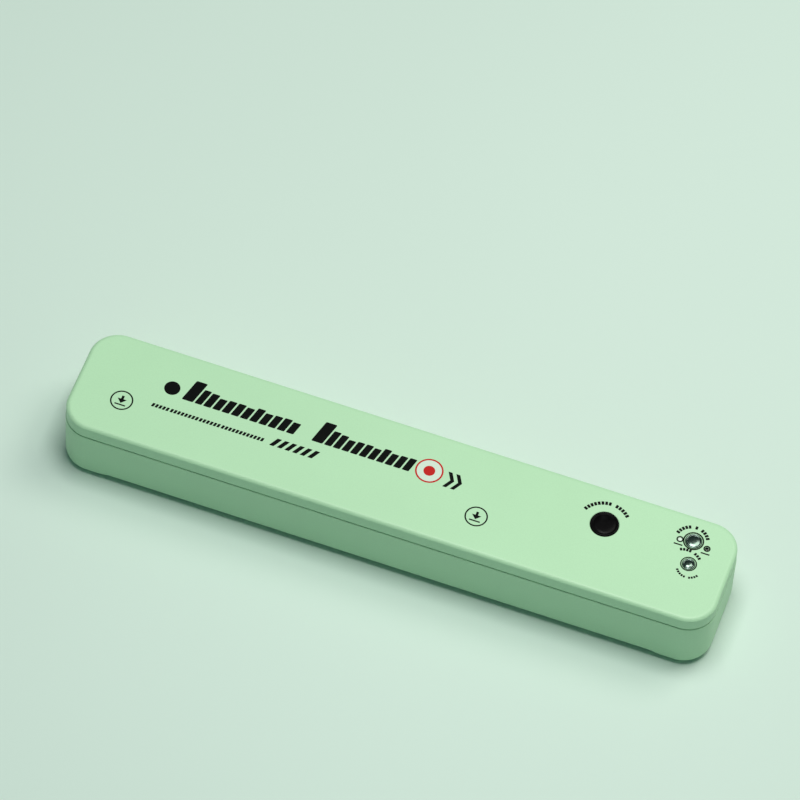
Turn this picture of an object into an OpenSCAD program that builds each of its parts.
// Household vacuum sealer: a long base and a full-length lid hinged along the rear edge.
// Frame: X runs along the length, +Y is the hinge side, +Z is up. Origin: centre of the footprint.

/* [Casing] */
// Length of the appliance
body_l = 360; // [356:1:372]
// Depth from front to hinge side
body_w = 64; // [63:0.5:66]
// Height over the rubber feet
body_h = 43; // [43:0.5:45]
// Height of the seam between base and lid
seam_z = 34; // [34:0.1:34.2]
// Radius of the four upright corners
corner_r = 16; // [13:0.5:18]
// Radius around the top edge of the lid
top_r = 2.8; // [2:0.2:4.4]
// Radius around the bottom edge of the base
bottom_r = 5; // [4:0.5:5]
// Shell thickness
wall = 2.2; // [2:0.1:2.4]

/* [Sealing deck] */
// Left end of the vacuum chamber
chamber_x0 = -136; // [-138:1:-130]
// Right end of the vacuum chamber
chamber_x1 = 29; // [24:1:30]
// Width of the foam gaskets
gasket_w = 5; // [4:0.5:5]
// Width of the heating ribbon
ribbon_w = 3; // [2.5:0.5:4]

/* [Lid controls] */
// Radius of the air release button
release_r = 7.6; // [7:0.1:8]
// Radius of the larger push button
large_button_r = 4.4; // [4:0.1:4.6]
// Radius of the smaller push button
small_button_r = 3.4; // [3:0.1:3.6]

/* [Hinge] */
// Opening angle that the rear bevels leave room for
lid_open = 70; // [60:1:72]
// Radius of the hinge barrels
barrel_r = 3.1; // [3:0.05:3.15]
// Radius of the steel hinge pins
hinge_pin_r = 1.25; // [1.2:0.05:1.3]

/* [Hidden] */
$fn = 48;

fit_gap = 0.1;                 // running clearance of the buttons in the lid
seam_gap = 0.4;                // open line between base and lid
foot_z = 0.8;                  // underside of the casing's end feet
arch_h = 1.4;                  // rise of the underside between the end feet
arch_half = body_l / 2 - 30;   // half length of that arch
floor_z = foot_z + arch_h + wall;
plate_gap = 0.25;              // deck and liner to shell
rim_drop = 0.4;                // deck and liner lie this far behind the seam edges
deck_top = seam_z - rim_drop;
deck_t = 2.4;
deck_low = deck_top - deck_t;
lid_low = seam_z + seam_gap;
liner_low = lid_low + rim_drop;
liner_t = 1.8;
liner_top = liner_low + liner_t;
ceiling_z = body_h - wall;     // inside of the lid's top

hinge_y = body_w / 2 - barrel_r - 0.1;
hinge_z = seam_z;
hinge_x = [-110, 120];
barrel_gap = 0.3;
bevel = lid_open / 2 + 1;
lug_w = 7;                     // each base barrel
lid_barrel_w = 14;
hinge_half = lid_barrel_w / 2 + barrel_gap + lug_w;
relief_r = barrel_r + 0.6;

chamber_y0 = -6.5;
chamber_y1 = 11.5;
trough_wall = 2;
trough_floor = 25.6;
trough_low = trough_floor - 1.6;
loop_gap = trough_wall;        // chamber edge to gasket
upper_chamber_top = 39.2;
vent_y = 7;
vent_z = 38.4;

heater_y = -21;
heater_x0 = chamber_x0 - 7;
heater_x1 = chamber_x1 + 8;
bed_w = 10;
bed_low = deck_top - 1.6;
bed_top = deck_top + 0.2;
ribbon_t = 0.2;
tape_t = 0.15;
terminal_x = [heater_x0 - 2.2, heater_x1 + 1.2];
cutout_x0 = -72;
cutout_x1 = -60;

latch_x = [-152.5, 45.5];
latch_y = -22;
hook_low = 25.4;
hook_w = 7.6;
clip_w = 6;

release_pos = [109.5, 9.6];
release_travel = 2;
large_pos = [156.2, 16.3];
small_pos = [158.1, 2.0];
led_pos = [[149.2, 15], [164.2, 14.3]];
button_travel = 0.5;
board_z = liner_top + 0.1;
board_t = 0.8;

nozzle_pos = [22, 2.5];
motor_y = -13;
motor_z = 17.5;
motor_r = 12;
motor_x0 = 70;
motor_x1 = 100;
shaft_r = 1;
throw_r = 1;                   // offset of the eccentric
pump_x = 109;                  // plane of the connecting rod
frame_x0 = motor_x1 + 1.5;
frame_x1 = 121;
diaphragm_y = 4.5;
barb_x = [pump_x - 5, pump_x + 5];

power_x0 = 124;
power_x1 = 164;
power_z = 7.4;
power_t = 1.6;
power_top = power_z + power_t;
power_holes = [for (x = [power_x0 + 7, power_x1 - 3], y = [-21, 21]) [x, y]];
socket_y = [-19.9, -12, 18];

inlet_x = 80;
inlet_z = 17;
inlet_pin_r = 1.2;
inlet_pitch = 8.6;
inlet_floor_y = body_w / 2 - 12.6;

casing_posts = [[-165, 0], [-50, -23.5], [-50, 23.5], [58, -24], [58, 23.5], [171, 0]];
post_top = 20;
liner_posts = [[-167, -8], [-167, 14], [-50, 23.8], [60, -22], [60, 23.8], [172, -8]];
foot_pos = [for (x = [-1, 1], y = [-1, 1]) [x * (body_l / 2 - 17), y * (body_w / 2 - 13)]];

mint = "#b6e3b9";
mint_deck = "#a9d9ae";
black = "#141414";

// ---- outlines ----

// Corner points of a rounded rectangle centred on the origin
function rounded_points(l, w, r, n = 8) = [
    for (c = [[1, 1, 0], [-1, 1, 90], [-1, -1, 180], [1, -1, 270]], i = [0:n])
        let (a = c[2] + 90 * i / n)
        [c[0] * (l / 2 - r) + r * cos(a), c[1] * (w / 2 - r) + r * sin(a)]];

// Upright prism of the plan outline, drawn in by inset, between two heights
module plan_prism(inset, z0, z1) {
    translate([0, 0, z0])
        linear_extrude(z1 - z0)
            polygon(rounded_points(body_l - 2 * inset, body_w - 2 * inset, corner_r - inset));
}

// Solid stacked from plan outlines, each given as [inset, height], with flat first and last faces
module stack(rings) {
    n = len(rounded_points(body_l, body_w, corner_r));
    last = len(rings) - 1;
    points = [for (q = rings)
        for (p = rounded_points(body_l - 2 * q[0], body_w - 2 * q[0], corner_r - q[0])) [p[0], p[1], q[1]]];
    walls = [for (i = [0:last - 1], k = [0:n - 1])
        let (a = i * n + k, b = i * n + (k + 1) % n) [a, a + n, b + n, b]];
    polyhedron(points, concat([[for (k = [0:n - 1]) k]], walls,
        [[for (k = [n - 1:-1:0]) last * n + k]]), convexity = 6);
}

// Rounded slab between two plan corners and two heights
module slab(x0, x1, y0, y1, z0, z1, r) {
    translate([0, 0, z0])
        linear_extrude(z1 - z0)
            union() {
                translate([x0 + r, y0]) square([x1 - x0 - 2 * r, y1 - y0]);
                translate([x0, y0 + r]) square([x1 - x0, y1 - y0 - 2 * r]);
                for (x = [x0 + r, x1 - r], y = [y0 + r, y1 - r]) translate([x, y]) circle(r);
            }
}

module box(x0, x1, y0, y1, z0, z1) {
    translate([x0, y0, z0]) cube([x1 - x0, y1 - y0, z1 - z0]);
}

module along_x(x0, x1, y, z, r) {
    translate([x0, y, z]) rotate([0, 90, 0]) cylinder(h = x1 - x0, r = r);
}

module along_y(x, y0, y1, z, r) {
    translate([x, y1, z]) rotate([90, 0, 0]) cylinder(h = y1 - y0, r = r);
}

module upright(p, z0, z1, r) {
    translate([p[0], p[1], z0]) cylinder(h = z1 - z0, r = r);
}

// ---- round wire swept along smoothed points ----

// Point on the smooth curve through the points at parameter t, which counts points
function curve_at(p, t) =
    let (n = len(p) - 1, i = min(floor(t), n - 1), u = t - i,
        a = p[max(i - 1, 0)], b = p[i], c = p[i + 1], d = p[min(i + 2, n)])
    0.5 * (2 * b + (c - a) * u + (2 * a - 5 * b + 4 * c - d) * u * u
        + (3 * b - a - 3 * c + d) * u * u * u);

function unit(v) = v / norm(v);

// Side direction of the sweep, carried from ring to ring so that the tube never twists
function carried(tangents, i = 0, side = undef) =
    let (start = abs(tangents[0].z) > 0.9 ? [1, 0, 0] : [0, 0, 1],
        s = side == undef ? start : side,
        now = unit(s - (s * tangents[i]) * tangents[i]))
    i == len(tangents) - 1 ? [now] : concat([now], carried(tangents, i + 1, now));

// Closed tube of radius r along a list of points, with flat ends
module sweep(line, r, sides = 8) {
    n = len(line);
    tangents = [for (i = [0:n - 1]) unit(line[min(i + 1, n - 1)] - line[max(i - 1, 0)])];
    sides_dir = carried(tangents);
    points = [for (i = [0:n - 1], k = [0:sides - 1])
        let (a = 360 * k / sides, u = sides_dir[i], v = cross(tangents[i], u))
        line[i] + r * (cos(a) * u + sin(a) * v)];
    walls = [for (i = [0:n - 2], k = [0:sides - 1])
        let (k2 = (k + 1) % sides, a = i * sides)
        [a + k, a + sides + k, a + sides + k2, a + k2]];
    polyhedron(points, concat(walls, [[for (k = [0:sides - 1]) k],
        [for (k = [sides - 1:-1:0]) (n - 1) * sides + k]]), convexity = 6);
}

// Wire through a few chosen points, smoothed with some rings for each span
module wire(p, r, rings = 5) {
    steps = (len(p) - 1) * rings;
    sweep([for (s = [0:steps]) curve_at(p, s / rings)], r);
}

// ---- hinge geometry shared by both shells and both inner plates ----

// Room around the barrels of each hinge, with some length to spare
module hinge_reliefs(half_length) {
    for (x = hinge_x)
        along_x(x - half_length, x + half_length, hinge_y, hinge_z, relief_r);
}

// Wedge behind the hinge axis; side is 1 for the lid's underside and -1 for the base's rim
module rear_bevel(side) {
    reach = body_w / 2 - hinge_y + 1;
    translate([-body_l / 2, 0, 0])
        rotate([90, 0, 90])
            linear_extrude(body_l)
                polygon([[hinge_y, hinge_z - side * 3], [hinge_y, hinge_z],
                    [hinge_y + reach, hinge_z + side * reach * tan(bevel)],
                    [hinge_y + reach, hinge_z - side * 3]]);
}

// ---- base ----

module base_shell() {
    stack(concat(
        [for (a = [90:-18:0]) [bottom_r * (1 - cos(a)), foot_z + bottom_r * (1 - sin(a))]],
        [[0, seam_z], [wall, seam_z], [wall, floor_z]]));
}

module base_casing() {
    color(mint)
    difference() {
        union() {
            base_shell();
            for (p = casing_posts) upright(p, floor_z - 0.5, post_top, 3.6);
            for (p = power_holes) upright(p, floor_z - 0.5, power_z, 2.6);
            for (x = [motor_x0 + 6, motor_x1 - 8]) difference() {
                box(x, x + 2, motor_y - 11, motor_y + 11, floor_z - 0.5, motor_z - 7);
                along_x(x - 1, x + 3, motor_y, motor_z, motor_r);
            }
            for (x = [frame_x0 + 2, frame_x1 - 4])
                box(x, x + 2, motor_y - 9, diaphragm_y - 3, floor_z - 0.5, motor_z - 11.5);
        }
        // arch under the middle, with sloping ends
        rotate([90, 0, 0])
            linear_extrude(body_w + 2, center = true)
                polygon([[-arch_half - 6, foot_z - 1], [-arch_half - 6, foot_z],
                    [-arch_half, foot_z + arch_h], [arch_half, foot_z + arch_h],
                    [arch_half + 6, foot_z], [arch_half + 6, foot_z - 1]]);
        for (p = foot_pos) upright(p, foot_z - 1, foot_z + 1, 5.1);
        for (p = casing_posts) {
            upright(p, foot_z - 1, post_top + 1, 1.7);
            upright(p, foot_z - 1, foot_z + 5, 2.9);
        }
        for (p = power_holes) upright(p, floor_z, power_z + 1, 0.9);
        rear_bevel(-1);
        hinge_reliefs(hinge_half + 0.4);
        // seat of the power inlet: flange pocket and body window
        box(inlet_x - 12.2, inlet_x + 12.2, body_w / 2 - 1.3, body_w / 2 + 1, inlet_z - 7.7, inlet_z + 7.7);
        box(inlet_x - 10.2, inlet_x + 10.2, body_w / 2 - 4, body_w / 2, inlet_z - 5.9, inlet_z + 5.9);
    }
}

module gasket_ring(z0, z1, spare) {
    difference() {
        slab(chamber_x0 - loop_gap - gasket_w - spare, chamber_x1 + loop_gap + gasket_w + spare,
            chamber_y0 - loop_gap - gasket_w - spare, chamber_y1 + loop_gap + gasket_w + spare, z0, z1, 8);
        slab(chamber_x0 - loop_gap + spare, chamber_x1 + loop_gap - spare,
            chamber_y0 - loop_gap + spare, chamber_y1 + loop_gap - spare, z0 - 1, z1 + 1, 3);
    }
}

module base_deck() {
    color(mint_deck)
    difference() {
        union() {
            difference() {
                union() {
                    plan_prism(wall + plate_gap, deck_low, deck_top);
                    for (p = casing_posts) upright(p, post_top, deck_low + 0.1, 3.2);
                }
                box(-body_l, body_l, hinge_y - 0.2, body_w, 0, body_h);
                hinge_reliefs(hinge_half + 0.4);
            }
            for (x = hinge_x, s = [-1, 1]) {
                lug = x + s * (lid_barrel_w / 2 + barrel_gap + lug_w / 2);
                along_x(lug - lug_w / 2, lug + lug_w / 2, hinge_y, hinge_z, barrel_r);
                box(lug - lug_w / 2, lug + lug_w / 2, hinge_y - 5, hinge_y, deck_low, deck_top);
            }
        }
        for (x = hinge_x) along_x(x - 20, x + 20, hinge_y, hinge_z, hinge_pin_r + 0.01);
        slab(chamber_x0, chamber_x1, chamber_y0, chamber_y1, deck_low - 1, deck_top + 1, 2);
        gasket_ring(deck_top - 1.4, deck_top + 1, 0.1);
        box(heater_x0 - 0.1, heater_x1 + 0.1, heater_y - bed_w / 2 - 0.1, heater_y + bed_w / 2 + 0.1,
            bed_low, deck_top + 1);
        for (x = terminal_x)
            box(x - 0.6, x + 0.6, heater_y - 2.2, heater_y + 2.2, deck_low - 1, deck_top + 1);
        for (x = latch_x) box(x - 4.6, x + 4.6, latch_y - 2.6, latch_y + 3.3, deck_low - 1, deck_top + 1);
        for (p = casing_posts) upright(p, post_top - 1, deck_low - 1, 1.2);
        upright(release_pos, deck_low - 1, deck_top + 1, 5.5);
        box(146, 158, 20.5, 24.5, deck_low - 1, deck_top + 1);
    }
}

module vacuum_trough() {
    color(mint_deck)
    difference() {
        slab(chamber_x0 - trough_wall, chamber_x1 + trough_wall, chamber_y0 - trough_wall,
            chamber_y1 + trough_wall, trough_low, deck_low, 4);
        slab(chamber_x0, chamber_x1, chamber_y0, chamber_y1, trough_floor, deck_low + 1, 2);
        upright(nozzle_pos, trough_low - 1, trough_floor + 1, 2.4);
    }
}

module rubber_feet() {
    color(black)
    for (p = foot_pos) upright(p, 0, foot_z + 1, 5);
}

// Cross-recess screw standing head down under a shell, tip up
module screw(p, head_z, tip_z, r = 1.15, head_r = 2.4, head_h = 1.6) {
    difference() {
        union() {
            upright(p, head_z, head_z + head_h, head_r);
            upright(p, head_z + head_h - 0.1, tip_z, r);
        }
        for (a = [0, 90])
            translate([p[0], p[1], head_z + 0.2]) rotate(a) cube([0.6, head_r * 1.2, 1.2], center = true);
    }
}

module casing_screws() {
    color("silver")
    for (p = casing_posts) screw(p, foot_z + 5 - 1.6, post_top + 7);
}

module heater_bed() {
    color("#8a5a33")
    box(heater_x0, heater_x1, heater_y - bed_w / 2, heater_y + bed_w / 2, bed_low, bed_top);
}

module heating_ribbon() {
    color("#b9b4a8")
    box(terminal_x[0] + 0.4, terminal_x[1] - 0.4, heater_y - ribbon_w / 2, heater_y + ribbon_w / 2,
        bed_top, bed_top + ribbon_t);
}

module heater_tape() {
    color("#a8794a")
    box(heater_x0, heater_x1, heater_y - bed_w / 2 + 0.3, heater_y + bed_w / 2 - 0.3,
        bed_top + ribbon_t, bed_top + ribbon_t + tape_t);
}

module heater_terminals() {
    color("#c9a24a")
    for (x = terminal_x) {
        box(x - 0.4, x + 0.4, heater_y - 1.9, heater_y + 1.9, deck_low - 3, bed_top + ribbon_t);
        box(x - 1.5, x + 1.5, heater_y - 1.9, heater_y + 1.9, deck_low - 3, deck_low - 2.2);
    }
}

module thermal_cutout() {
    color("#e8e4da")
    box(cutout_x0, cutout_x1, heater_y - 3, heater_y + 3, deck_low - 3, deck_low);
}

module lower_gasket() {
    color("#2b2b2b") gasket_ring(deck_top - 1.4, seam_z + 0.15, 0);
}

module suction_nozzle() {
    color("white")
    difference() {
        union() {
            upright(nozzle_pos, trough_floor, trough_floor + 1, 4.5);
            upright(nozzle_pos, 17, trough_floor + 0.5, 2.3);
            translate([nozzle_pos[0], nozzle_pos[1], 17]) cylinder(h = 1.6, r1 = 1.9, r2 = 2.7);
        }
        upright(nozzle_pos, 16, trough_floor + 2, 1.2);
    }
}

module suction_filter() {
    color("#e9e9e4") upright(nozzle_pos, trough_floor + 1, trough_floor + 3.2, 4);
}

module suction_hose() {
    color("#e6e6e0")
    wire([[nozzle_pos[0], nozzle_pos[1], 17], [nozzle_pos[0], nozzle_pos[1], 12.5], [25, 3.5, 8.6],
        [34, 6, 7.4], [48, 9, 7.4], [64, 9, 7.4], [80, 8, 7.4], [90, 15, 8], [94, 23, 10],
        [98.5, 27, 13.5], [103, 26.6, 17.2], [barb_x[0], 24.4, 17.5], [barb_x[0], 22.25, 17.5]], 2.1);
}

module pump_motor() {
    color("#b8bcc0")
    difference() {
        union() {
            along_x(motor_x0, motor_x1, motor_y, motor_z, motor_r);
            along_x(motor_x1 - 0.1, frame_x0, motor_y, motor_z, 3);
        }
        along_x(motor_x0 - 1, motor_x1 + 4, motor_y, motor_z, shaft_r + 0.05);
        for (s = [-1, 1]) along_x(motor_x1 - 3, motor_x1 + 1, motor_y, motor_z + s * 8, 1.1);
    }
}

module motor_end_cap() {
    color("#1d1d1f")
    difference() {
        union() {
            along_x(motor_x0 - 2.5, motor_x0, motor_y, motor_z, 11.4);
            along_x(motor_x0 - 4, motor_x0 - 2.4, motor_y, motor_z, 3.4);
            for (s = [-1, 1])
                box(motor_x0 - 5.5, motor_x0 - 2.4, motor_y + s * 7 - 1.2, motor_y + s * 7 + 1.2,
                    motor_z - 0.4, motor_z + 0.4);
        }
        along_x(motor_x0 - 3, motor_x0 + 1, motor_y, motor_z, shaft_r + 0.05);
    }
}

module pump_frame() {
    color("#3a3d40")
    difference() {
        box(frame_x0, frame_x1, motor_y - 12, diaphragm_y, motor_z - 11.5, motor_z + 11.5);
        box(frame_x0 + 2, frame_x1 - 2, motor_y - 10, diaphragm_y - 2, motor_z - 9.5, motor_z + 9.5);
        box(frame_x0 + 2, frame_x1 + 1, motor_y - 7, motor_y + 7, motor_z - 7, motor_z + 7);
        along_x(frame_x0 - 1, frame_x0 + 3, motor_y, motor_z, 3.2);
        along_y(pump_x, diaphragm_y - 3, diaphragm_y + 1, motor_z, 6.5);
    }
}

module pump_diaphragm() {
    color("#202020")
    difference() {
        along_y(pump_x, diaphragm_y, diaphragm_y + 1.4, motor_z, 9.4);
        along_y(pump_x, diaphragm_y - 1, diaphragm_y + 2, motor_z, 1.2);
    }
}

module pump_head() {
    color("#4a4d50")
    difference() {
        union() {
            along_y(pump_x, diaphragm_y + 1.4, 16, motor_z, 10);
            for (x = barb_x) along_y(x, 15.9, 22.2, motor_z, 1.9);
        }
        along_y(pump_x, diaphragm_y + 1, diaphragm_y + 4.4, motor_z, 7.5);
        for (x = barb_x) along_y(x, diaphragm_y + 4, 23, motor_z, 0.9);
    }
}

module motor_shaft() {
    color("silver") along_x(motor_x0 - 2.4, 115, motor_y, motor_z, shaft_r);
}

module eccentric() {
    color("#c8a13e")
    difference() {
        union() {
            along_x(pump_x - 3, pump_x + 3, motor_y, motor_z + throw_r, 3.2);
            intersection() {
                along_x(pump_x + 2.9, pump_x + 4.8, motor_y, motor_z, 5.8);
                box(pump_x, pump_x + 9, motor_y - 7, motor_y + 7, motor_z - 7, motor_z + 1.5);
            }
        }
        along_x(pump_x - 4, pump_x + 6, motor_y, motor_z, shaft_r);
    }
}

module connecting_rod() {
    color("#dcdcdc")
    difference() {
        union() {
            along_x(pump_x - 2.5, pump_x + 2.5, motor_y, motor_z, 7.2);
            box(pump_x - 2, pump_x + 2, motor_y + 6.4, diaphragm_y - 1.4, motor_z - 2, motor_z + 2);
            along_y(pump_x, diaphragm_y - 1.6, diaphragm_y, motor_z, 4.4);
            along_y(pump_x, diaphragm_y - 0.1, diaphragm_y + 2.2, motor_z, 1.15);
        }
        along_x(pump_x - 4, pump_x + 4, motor_y, motor_z, 5.5);
    }
}

module power_board() {
    color("#1f6b3a")
    difference() {
        box(power_x0, power_x1, -24, 24, power_z, power_top);
        for (p = power_holes) upright(p, power_z - 1, power_top + 1, 1.5);
    }
}

module board_screws() {
    color("silver")
    for (p = power_holes) {
        upright(p, power_top, power_top + 1.4, 2.4);
        upright(p, floor_z + 0.4, power_top + 0.1, 0.85);
    }
}

module bulk_capacitor() {
    color("#23262b")
    difference() {
        upright([137, 13], power_top, power_top + 18, 6.3);
        translate([137, 13, power_top + 2.4]) rotate_extrude() translate([6.5, 0]) circle(r = 0.7);
    }
}

module switching_transformer() {
    color("#d9b23c")
    union() {
        box(142, 162, -17, 1, power_top, power_top + 3);
        box(145, 159, -14, -2, power_top + 3, power_top + 14);
        box(142, 162, -11, -5, power_top + 3, power_top + 16);
    }
}

module power_relay() {
    color("#2f6fb5") box(128, 140, -17, -2, power_top, power_top + 13);
}

module heat_sink() {
    color("#c3c7ca")
    union() {
        box(148, 162, 10, 12, power_top, power_top + 17);
        for (x = [148:3:160]) box(x, x + 1.2, 12, 17, power_top, power_top + 17);
    }
}

module mains_fuse() {
    color("#dfe6ea")
    union() {
        along_x(127, 132, 4, power_top + 3, 2.7);
        along_x(132, 140, 4, power_top + 3, 2.4);
        along_x(140, 145, 4, power_top + 3, 2.7);
        for (x = [128.5, 142]) box(x, x + 1.5, 2.5, 5.5, power_top, power_top + 1.2);
    }
}

module board_sockets() {
    color("#f0efe8")
    for (y = socket_y) difference() {
        box(power_x0 + 0.2, power_x0 + 3.4, y - 2.4, y + 2.4, power_top, power_top + 6.4);
        box(power_x0 - 1, power_x0 + 2.4, y - 1.9, y + 1.9, power_top + 2.6, power_top + 5.4);
    }
}

// Recess of the inlet: two round ends and a slightly waisted middle
module inlet_recess(y0, y1) {
    for (s = [-1, 1]) along_y(inlet_x + s * inlet_pitch / 2, y0, y1, inlet_z, 3.9);
    box(inlet_x - inlet_pitch / 2, inlet_x + inlet_pitch / 2, y0, y1, inlet_z - 3.3, inlet_z + 3.3);
}

module power_inlet() {
    rear = body_w / 2;
    color(black)
    difference() {
        union() {
            box(inlet_x - 12, inlet_x + 12, rear - 1.2, rear - 0.1, inlet_z - 7.5, inlet_z + 7.5);
            box(inlet_x - 10, inlet_x + 10, inlet_floor_y - 4, rear - 1.1, inlet_z - 5.7, inlet_z + 5.7);
        }
        inlet_recess(inlet_floor_y, rear + 1);
        for (s = [-1, 1])
            along_y(inlet_x + s * inlet_pitch / 2, inlet_floor_y - 5, inlet_floor_y + 1, inlet_z, 0.9);
    }
}

module inlet_pins() {
    color("#d5d2c6")
    for (s = [-1, 1]) {
        along_y(inlet_x + s * inlet_pitch / 2, inlet_floor_y, inlet_floor_y + 9.4, inlet_z, inlet_pin_r);
        along_y(inlet_x + s * inlet_pitch / 2, inlet_floor_y - 7.4, inlet_floor_y, inlet_z, 0.9);
    }
}

module inlet_leads() {
    y0 = inlet_floor_y - 7.4;
    color("#2b2b2b")
    for (s = [-1, 1])
        wire([[inlet_x + s * inlet_pitch / 2, y0, inlet_z], [inlet_x + s * inlet_pitch / 2, y0 - 2.7, 17.6],
            [83 + s * 2.6, 8.2 + s * 0.6, 20.6], [89, 10.6 + s * 0.9, 24 + s * 1.1],
            [97, 17.6 + s * 0.9, 25.2 + s * 1.1], [110, 20 + s * 0.9, 25.2 + s * 1.1],
            [119, 19.6 + s * 1.1, 20 + s * 0.6], [power_x0 + 0.1, socket_y[2] + s, 13]], 0.75, 4);
}

module motor_leads() {
    x0 = motor_x0 - 5.5;
    color("#b23a32")
    union() {
        wire([[x0, motor_y - 7, motor_z], [x0 - 1.9, -20.3, 16.6], [x0 - 1.3, -24, 12.5],
            [66.5, -27.4, 9.9], [84, -27.7, 9.6], [104, -27.7, 9.6], [116, -27.5, 9.8], [120, -27, 10.8], [122.6, -24, 12.4],
            [power_x0 + 0.1, socket_y[0] - 0.85, 13]], 0.6, 4);
        wire([[x0, motor_y + 7, motor_z], [x0 - 2.1, -7, 16], [x0 - 1.9, -14, 10], [x0 - 0.3, -22.5, 7.6],
            [68, -27.2, 7.3], [84, -27.7, 7.3], [104, -27.7, 7.3], [116, -27.5, 7.5], [120.4, -26.6, 8.4],
            [122.9, -22, 10.6], [power_x0 + 0.1, socket_y[0] + 0.85, 13]], 0.6, 4);
    }
}

module heater_leads() {
    low = deck_low - 3;
    color("#d8d5cc")
    union() {
        wire([[terminal_x[0], heater_y, low], [-144, -22.5, 25.6], [-130, -25, 24.6], [-100, -25, 24.4],
            [-82, -23.5, 26.6], [-75, -21.6, 29], [cutout_x0, heater_y, low + 1.5]], 0.8, 4);
        wire([[cutout_x1, heater_y, low + 1.5], [-57.5, -23, 29], [-56.6, -27, 27.4], [-50, -28.7, 26.2],
            [-40, -28.7, 25.4], [-10, -28, 24.8], [30, -28, 24.8], [43, -28.3, 22.6], [52, -28.8, 17.6],
            [60, -28.8, 15.2], [84, -28, 15], [104, -28, 15], [117.5, -27.6, 16.2], [122.2, -23.8, 17.6],
            [122.8, -14, 17], [power_x0 + 0.1, socket_y[1] + 1, 13.8]], 0.8, 4);
        wire([[terminal_x[1], heater_y, low], [38.8, -22.5, 24.6], [43, -26.5, 19.5], [52, -28.7, 14],
            [60, -28.7, 12.3], [84, -28, 12.2], [104, -28, 12.2], [117.5, -27.6, 13.2],
            [122.4, -23.6, 14.6], [122.9, -17, 14.4], [power_x0 + 0.1, socket_y[1] - 1, 12.8]], 0.8, 4);
    }
}

module lid_loom() {
    color("#3b3b3b")
    wire([[143.5, 20.8, power_top], [143.8, 21, 14], [147, 21.6, 22], [149.4, 22.4, 28.5], [149.6, 22.6, 31.6],
        [149.6, 22.6, 34.4], [149.6, 22.4, 37.2], [149.6, 21.2, 38.8], [149.6, 18.6, 38.7]], 1.1, 4);
}

// Spring strip hanging below the deck, with a bump that the hook snaps past
module catch_clips() {
    t = 0.6;
    y = latch_y + 4.2;
    color("#c9ccd0")
    for (x = latch_x)
        translate([x - clip_w / 2, 0, 0])
            rotate([90, 0, 90])
                linear_extrude(clip_w)
                    polygon([[y + 6, deck_low], [y - t, deck_low], [y - t, 29.4], [y - 2.2, 28.5],
                        [y - t, 27.6], [y - t, 21], [y, 21], [y, 27.4], [y - 1.5, 28.5], [y, 29.6], [y, deck_low - t],
                        [y + 6, deck_low - t]]);
}

module hinge_pins() {
    color("#cfd2d4")
    for (x = hinge_x) along_x(x - hinge_half + 0.2, x + hinge_half - 0.2, hinge_y, hinge_z, hinge_pin_r);
}

// ---- lid ----

module lid_shell() {
    stack(concat(
        [[wall, ceiling_z], [wall, lid_low], [0, lid_low]],
        [for (a = [0:15:90]) [top_r * (1 - cos(a)), body_h - top_r * (1 - sin(a))]]));
}

module lid_cover() {
    color(mint)
    difference() {
        union() {
            lid_shell();
            for (p = liner_posts) upright(p, liner_top, ceiling_z + 0.5, 2.8);
        }
        for (p = liner_posts) upright(p, liner_top - 1, ceiling_z, 1);
        upright(release_pos, ceiling_z - 1, body_h + 1, release_r + fit_gap);
        upright(large_pos, ceiling_z - 1, body_h + 1, large_button_r + fit_gap);
        upright(small_pos, ceiling_z - 1, body_h + 1, small_button_r + fit_gap);
        for (p = led_pos) upright(p, ceiling_z - 1, body_h + 1, 1.05);
        rear_bevel(1);
        hinge_reliefs(hinge_half + 0.4);
    }
}

module lid_liner() {
    color(mint_deck)
    difference() {
        union() {
            difference() {
                union() {
                    plan_prism(wall + plate_gap, liner_low, liner_top);
                    slab(chamber_x0 - trough_wall, chamber_x1 + trough_wall, chamber_y0 - trough_wall,
                        chamber_y1 + trough_wall, liner_top - 0.1, upper_chamber_top + 1.2, 4);
                    box(heater_x0 - 2, heater_x1 + 2, heater_y - 4.6, heater_y + 4.6,
                        liner_top - 0.1, liner_top + 1.6);
                }
                box(-body_l, body_l, hinge_y - 0.2, body_w, 0, body_h);
                hinge_reliefs(hinge_half + 0.4);
            }
            for (x = hinge_x) {
                along_x(x - lid_barrel_w / 2, x + lid_barrel_w / 2, hinge_y, hinge_z, barrel_r);
                box(x - lid_barrel_w / 2, x + lid_barrel_w / 2, hinge_y - 5, hinge_y,
                    liner_low, liner_low + 2.2);
            }
            along_x(chamber_x1 + 1, 36, vent_y, vent_z, 1);
        }
        for (x = hinge_x) along_x(x - 20, x + 20, hinge_y, hinge_z, hinge_pin_r + 0.05);
        slab(chamber_x0, chamber_x1, chamber_y0, chamber_y1, liner_low - 1, upper_chamber_top, 2);
        gasket_ring(liner_low - 1, liner_low + 1.2, 0.1);
        box(heater_x0 + 0.9, heater_x1 - 0.9, heater_y - 2.7, heater_y + 2.7,
            liner_low - 1, liner_low + 2.1);
        for (x = latch_x) box(x - 3.9, x + 3.9, latch_y - 1.3, latch_y + 1.3, liner_low - 1, liner_top + 1);
        for (p = liner_posts) {
            upright(p, liner_low - 1, liner_top + 1, 1.3);
            upright(p, liner_low - 1, liner_low + 0.9, 2.3);
        }
        along_x(chamber_x1 - 1, 37, vent_y, vent_z, 0.5);
        upright(release_pos, liner_low - 1, liner_top + 1, 9.3);
        box(146, 158, 20.5, 24.5, liner_low - 1, liner_top + 1);
    }
}

module liner_screws() {
    color("silver")
    for (p = liner_posts) screw(p, liner_low + 0.1, ceiling_z - 0.4, 0.95, 2.1, 0.8);
}

module upper_gasket() {
    color("#2b2b2b") gasket_ring(seam_z + 0.25, liner_low + 1.2, 0);
}

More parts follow.
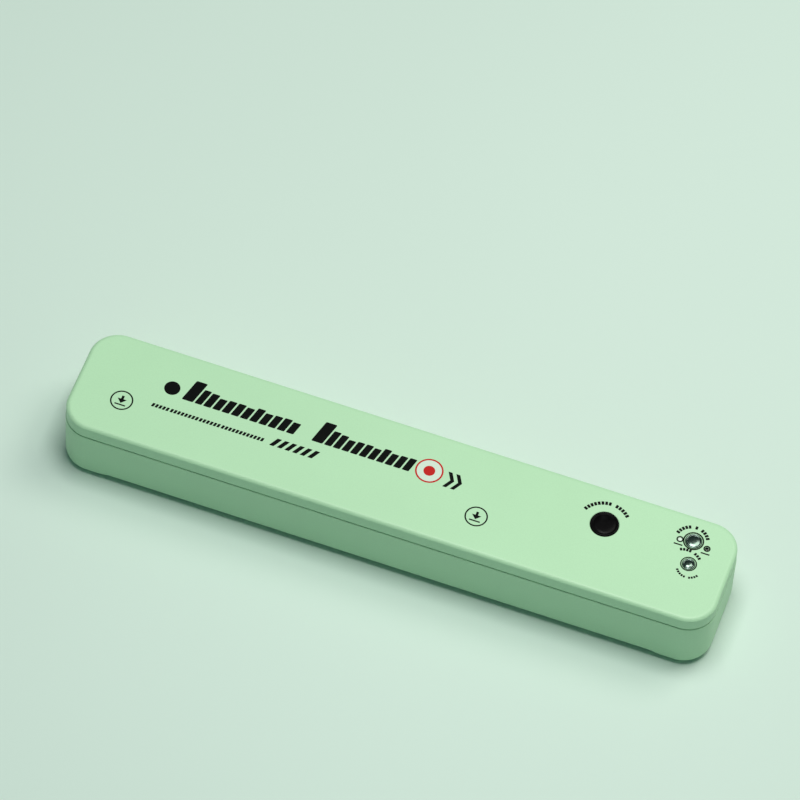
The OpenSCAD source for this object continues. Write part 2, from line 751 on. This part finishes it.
module press_strip() {
    color("#e9e6df")
    union() {
        box(heater_x0 + 1, heater_x1 - 1, heater_y - 2.6, heater_y + 2.6, liner_low - 0.1, liner_low + 2.1);
        box(heater_x0 + 1, heater_x1 - 1, heater_y - 1.8, heater_y + 1.8, seam_z + 0.3, liner_low);
    }
}

module latch_hooks() {
    color("#e6e3da")
    for (x = latch_x) {
        translate([x - hook_w / 2, 0, 0])
            rotate([90, 0, 90])
                linear_extrude(hook_w)
                    polygon([[latch_y - 1.2, liner_top + 0.6], [latch_y - 1.2, hook_low + 0.8],
                        [latch_y - 0.6, hook_low], [latch_y + 1, hook_low], [latch_y + 2.6, hook_low + 1.1],
                        [latch_y + 2.6, hook_low + 1.5], [latch_y + 1.2, hook_low + 2.1],
                        [latch_y + 1.2, liner_top + 0.6]]);
        box(x - 5.5, x + 5.5, latch_y - 3.2, latch_y + 3.2, liner_top, liner_top + 1.4);
    }
}

module control_board() {
    color("#1f6b3a")
    difference() {
        box(145, 168, -5, 20, board_z, board_z + board_t);
        upright([148, -2], board_z - 1, board_z + 2, 1.2);
    }
}

module tact_switches() {
    z = board_z + board_t;
    color("#30343a")
    for (p = [large_pos, small_pos]) difference() {
        box(p[0] - 3, p[0] + 3, p[1] - 3, p[1] + 3, z, z + 1.8);
        upright(p, z + 0.9, z + 3, 1.7);
    }
}

module status_leds() {
    z = board_z + board_t;
    color("#f2e9c8")
    for (p = led_pos) box(p[0] - 0.8, p[0] + 0.8, p[1] - 1, p[1] + 1, z, z + 0.8);
}

module led_lenses() {
    color("#e8f4ea")
    for (p = led_pos) union() {
        upright(p, ceiling_z - 0.6, body_h, 1);
        upright(p, ceiling_z - 0.8, ceiling_z, 1.6);
    }
}

module valve_housing() {
    color("#dfe3e0")
    difference() {
        union() {
            upright(release_pos, liner_low, ceiling_z, 9.2);
            along_x(99, release_pos[0] - 8.6, vent_y, vent_z, 1);
        }
        upright(release_pos, liner_low + 1.2, ceiling_z + 1, 8.4);
        upright(release_pos, liner_low - 1, liner_low + 2, 1.9);
        along_x(98, release_pos[0] - 7, vent_y, vent_z, 0.5);
    }
}

module vent_tube() {
    color("#e6e6e0")
    difference() {
        along_x(31.4, 100.5, vent_y, vent_z, 1.6);
        along_x(31, 101, vent_y, vent_z, 1.02);
    }
}

module valve_spring() {
    turns = 2.5;
    z0 = liner_low + 1.2 + 0.35;
    z1 = 38.85;
    color("silver")
    sweep([for (i = [0:60])
        let (a = 360 * turns * i / 60)
        [release_pos[0] + 4.2 * cos(a), release_pos[1] + 4.2 * sin(a), z0 + (z1 - z0) * i / 60]], 0.3, 6);
}

module release_button() {
    color(black)
    difference() {
        union() {
            upright(release_pos, ceiling_z - 1.5, body_h + 0.6, release_r);
            upright(release_pos, ceiling_z - 1.5, ceiling_z - 0.1, 8.05);
        }
        upright(release_pos, ceiling_z - 2, ceiling_z + 0.2, 1.35);
    }
}

module valve_stem() {
    color("#d8d8d4")
    union() {
        upright(release_pos, liner_low - 1.6, ceiling_z + 0.2, 1.3);
        upright(release_pos, liner_low - 1.6, liner_low - 0.9, 2.6);
    }
}

module valve_seal() {
    color("#1a1a1a")
    difference() {
        upright(release_pos, liner_low - 0.9, liner_low - 0.05, 3.6);
        upright(release_pos, liner_low - 2, liner_low + 1, 1.3);
    }
}

// Plated push button: cap, retaining flange under the lid and stem to the switch
module push_button(p, r) {
    color("#b9bfbd")
    union() {
        upright(p, ceiling_z - 0.2, body_h + 0.4, r);
        upright(p, ceiling_z - 0.8, ceiling_z - 0.1, r + 0.9);
        upright(p, board_z + board_t + 1.5, ceiling_z - 0.7, 1.6);
    }
}

module vacuum_seal_button() { push_button(large_pos, large_button_r); }
module seal_only_button() { push_button(small_pos, small_button_r); }

base_casing();
base_deck();
vacuum_trough();
rubber_feet();
casing_screws();
heater_bed();
heating_ribbon();
heater_tape();
heater_terminals();
thermal_cutout();
lower_gasket();
suction_nozzle();
suction_filter();
suction_hose();
pump_motor();
motor_end_cap();
pump_frame();
pump_diaphragm();
pump_head();
motor_shaft();
eccentric();
connecting_rod();
power_board();
board_screws();
bulk_capacitor();
switching_transformer();
power_relay();
heat_sink();
mains_fuse();
board_sockets();
power_inlet();
inlet_pins();
inlet_leads();
motor_leads();
heater_leads();
lid_loom();
catch_clips();
hinge_pins();
lid_cover();
lid_liner();
liner_screws();
upper_gasket();
press_strip();
latch_hooks();
control_board();
tact_switches();
status_leds();
led_lenses();
valve_housing();
vent_tube();
valve_spring();
release_button();
valve_stem();
valve_seal();
vacuum_seal_button();
seal_only_button();
